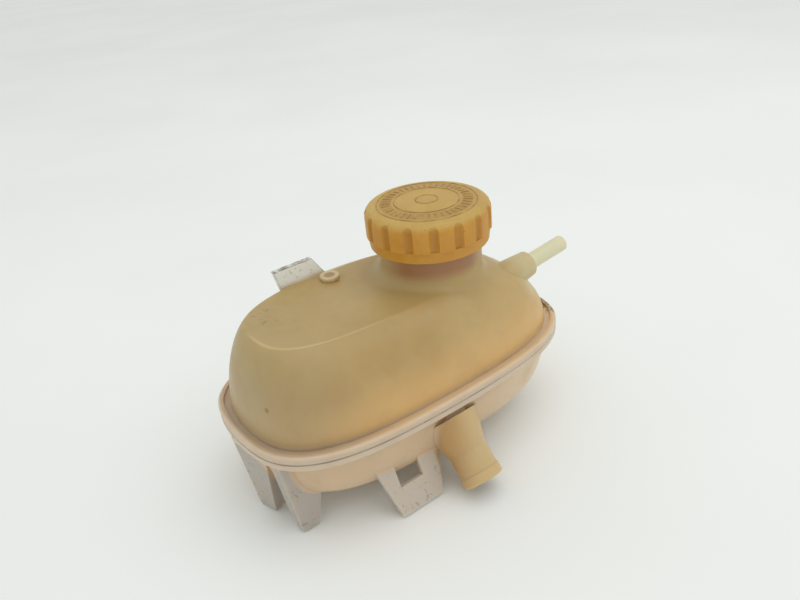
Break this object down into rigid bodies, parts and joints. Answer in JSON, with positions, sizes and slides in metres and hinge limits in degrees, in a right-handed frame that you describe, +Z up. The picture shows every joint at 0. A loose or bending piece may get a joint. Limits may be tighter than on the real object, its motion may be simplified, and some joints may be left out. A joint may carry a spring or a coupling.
{
  "type": "coolant expansion tank",
  "caption": "Moulded translucent coolant expansion tank with a welded seam flange, fluted screw cap on its filler neck, bleed nipple, slanted hose outlet and moulded mounting tabs.",
  "frame": {"origin": "middle of the seam plane between the halves, from which every mounting tab is placed", "axes": "+X along the tank to the neck and nipple end, +Y to the tongue at the rear, +Z up the filler neck"},
  "size_m": [0.2061, 0.1278, 0.1279],
  "materials": {
    "tank_plastic": "aged translucent amber, satin",
    "cap_plastic": "aged amber, satin",
    "valve_plastic": "black, satin",
    "seal_rubber": "matte",
    "spring_steel": "drawn wire"
  },
  "bodies": {
    "tank": {"upper_shell": "tank_plastic", "lower_shell": "tank_plastic"},
    "valve_carrier": {"valve_body": "valve_plastic", "valve_cover": "valve_plastic", "neck_seal": "seal_rubber", "pressure_spring": "spring_steel"},
    "cap": {"cap_shell": "cap_plastic"},
    "pressure_plate": {"pressure_valve": "valve_plastic", "valve_seal": "seal_rubber", "vacuum_spring": "spring_steel"},
    "vacuum_poppet": {"vacuum_valve": "valve_plastic", "spring_clip": "spring_steel"}
  },
  "joints": [
    {"name": "cap_lift", "type": "slide", "parent": "tank", "child": "valve_carrier", "axis": [0, 0, 1], "range_m": [0, 0.012]},
    {"name": "cap_turn", "type": "hinge", "parent": "valve_carrier", "child": "cap", "pos_m": [0.0298, 0.0013, 0.07], "axis": [0, 0, 1], "range_deg": [0, 1080]},
    {"name": "pressure_lift", "type": "slide", "parent": "valve_carrier", "child": "pressure_plate", "axis": [0, 0, 1], "range_m": [0, 0.003], "stiffness_N_per_m": 150, "springref_m": -0.0005, "deforming": ["pressure_spring"]},
    {"name": "vacuum_drop", "type": "slide", "parent": "pressure_plate", "child": "vacuum_poppet", "axis": [0, 0, -1], "range_m": [0, 0.002], "stiffness_N_per_m": 20, "springref_m": -0.0005, "deforming": ["vacuum_spring"]}
  ],
  "couplings": [
    {"joint": "cap_lift", "follows": "cap_turn", "m_per_rad": 0.0006366}
  ]
}
